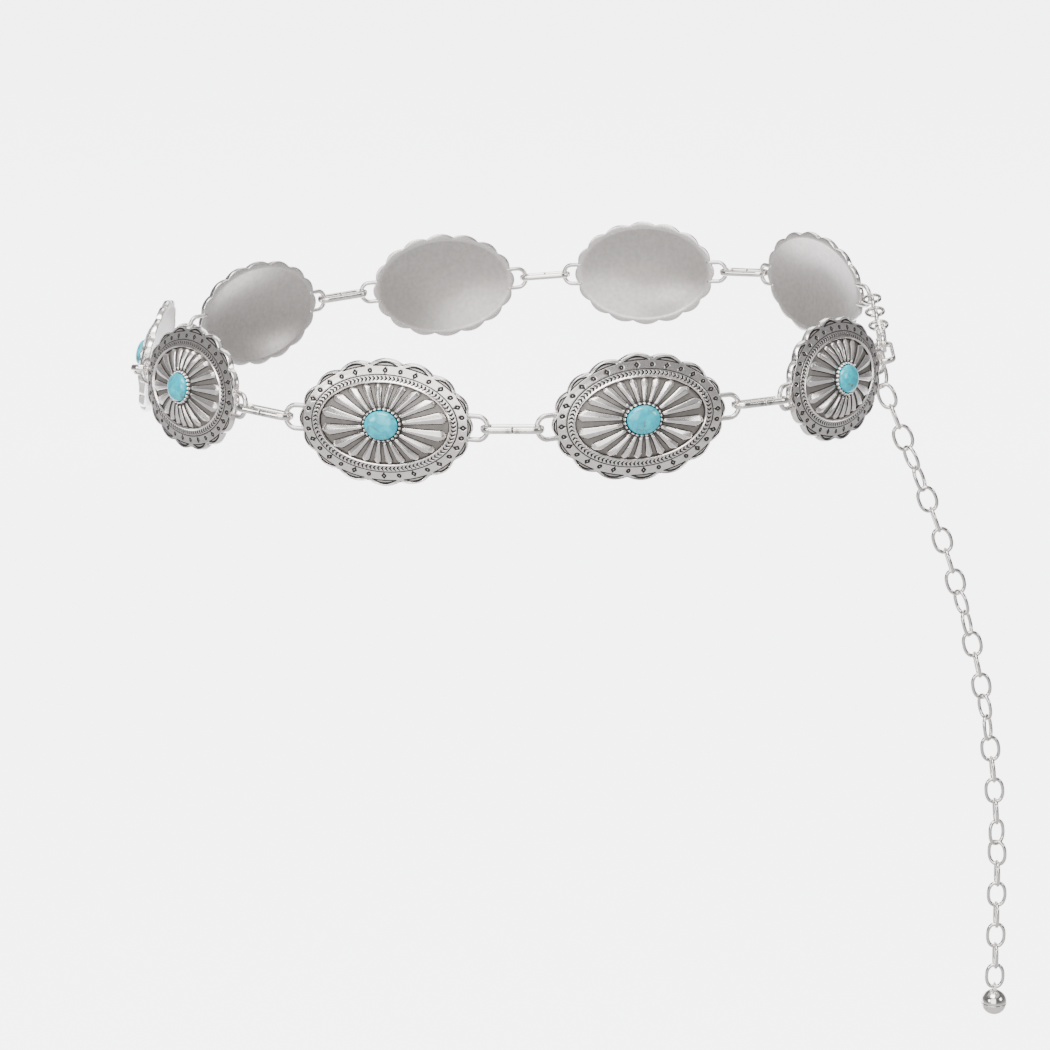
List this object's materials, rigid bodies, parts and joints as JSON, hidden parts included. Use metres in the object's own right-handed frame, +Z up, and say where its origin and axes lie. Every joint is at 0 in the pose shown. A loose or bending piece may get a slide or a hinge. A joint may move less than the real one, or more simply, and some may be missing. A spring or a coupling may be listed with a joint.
{
  "type": "concho chain belt",
  "caption": "Closed waist belt of oval scalloped cast conchos with round-set turquoise stones, oval wire links, a lobster clasp and a hanging chain ending in a ball.",
  "frame": {"origin": "middle of the open waist, at the height of the front conchos", "axes": "+Z up, the front of the belt faces -Y, +X to the viewer's right where the clasp and the hanging chain are"},
  "size_m": [0.3185, 0.2382, 0.2805],
  "materials": {
    "back_chain": "polished silver plate",
    "clasp_body": "polished silver plate",
    "clasp_lever": "polished silver plate",
    "concho_back": "antiqued silver plate on cast zinc alloy, dark in the recesses",
    "concho_back_left": "antiqued silver plate on cast zinc alloy, dark in the recesses",
    "concho_back_right": "antiqued silver plate on cast zinc alloy, dark in the recesses",
    "concho_front_left": "antiqued silver plate on cast zinc alloy, dark in the recesses",
    "concho_front_right": "antiqued silver plate on cast zinc alloy, dark in the recesses",
    "concho_left": "antiqued silver plate on cast zinc alloy, dark in the recesses",
    "concho_right": "antiqued silver plate on cast zinc alloy, dark in the recesses",
    "concho_side_left": "antiqued silver plate on cast zinc alloy, dark in the recesses",
    "concho_side_right": "antiqued silver plate on cast zinc alloy, dark in the recesses",
    "end_ball": "polished silver plate",
    "end_ring": "polished silver plate",
    "link_1": "polished silver plate",
    "link_2": "polished silver plate",
    "link_3": "polished silver plate",
    "link_4": "polished silver plate",
    "link_5": "polished silver plate",
    "link_6": "polished silver plate",
    "link_7": "polished silver plate",
    "link_8": "polished silver plate",
    "stone_back": "polished turquoise-coloured stone",
    "stone_back_left": "polished turquoise-coloured stone",
    "stone_back_right": "polished turquoise-coloured stone",
    "stone_front_left": "polished turquoise-coloured stone",
    "stone_front_right": "polished turquoise-coloured stone",
    "stone_left": "polished turquoise-coloured stone",
    "stone_right": "polished turquoise-coloured stone",
    "stone_side_left": "polished turquoise-coloured stone",
    "stone_side_right": "polished turquoise-coloured stone",
    "tail_chain": "polished silver plate"
  },
  "bodies": {
    "belt": {"back_chain": "back_chain", "clasp_body": "clasp_body", "concho_back": "concho_back", "concho_back_left": "concho_back_left", "concho_back_right": "concho_back_right", "concho_front_left": "concho_front_left", "concho_front_right": "concho_front_right", "concho_left": "concho_left", "concho_right": "concho_right", "concho_side_left": "concho_side_left", "concho_side_right": "concho_side_right", "end_ball": "end_ball", "end_ring": "end_ring", "link_1": "link_1", "link_2": "link_2", "link_3": "link_3", "link_4": "link_4", "link_5": "link_5", "link_6": "link_6", "link_7": "link_7", "link_8": "link_8", "stone_back": "stone_back", "stone_back_left": "stone_back_left", "stone_back_right": "stone_back_right", "stone_front_left": "stone_front_left", "stone_front_right": "stone_front_right", "stone_left": "stone_left", "stone_right": "stone_right", "stone_side_left": "stone_side_left", "stone_side_right": "stone_side_right", "tail_chain": "tail_chain"},
    "lever": {"clasp_lever": "clasp_lever"}
  },
  "joints": [
    {"name": "clasp_lever_hinge", "type": "hinge", "parent": "belt", "child": "lever", "pos_m": [0.12885, -0.01767, 0.01542], "axis": [0.9827, -0.079, 0.1673], "range_deg": [0, 25], "stiffness_Nm_per_rad": 0.01, "springref_deg": -11.46}
  ]
}
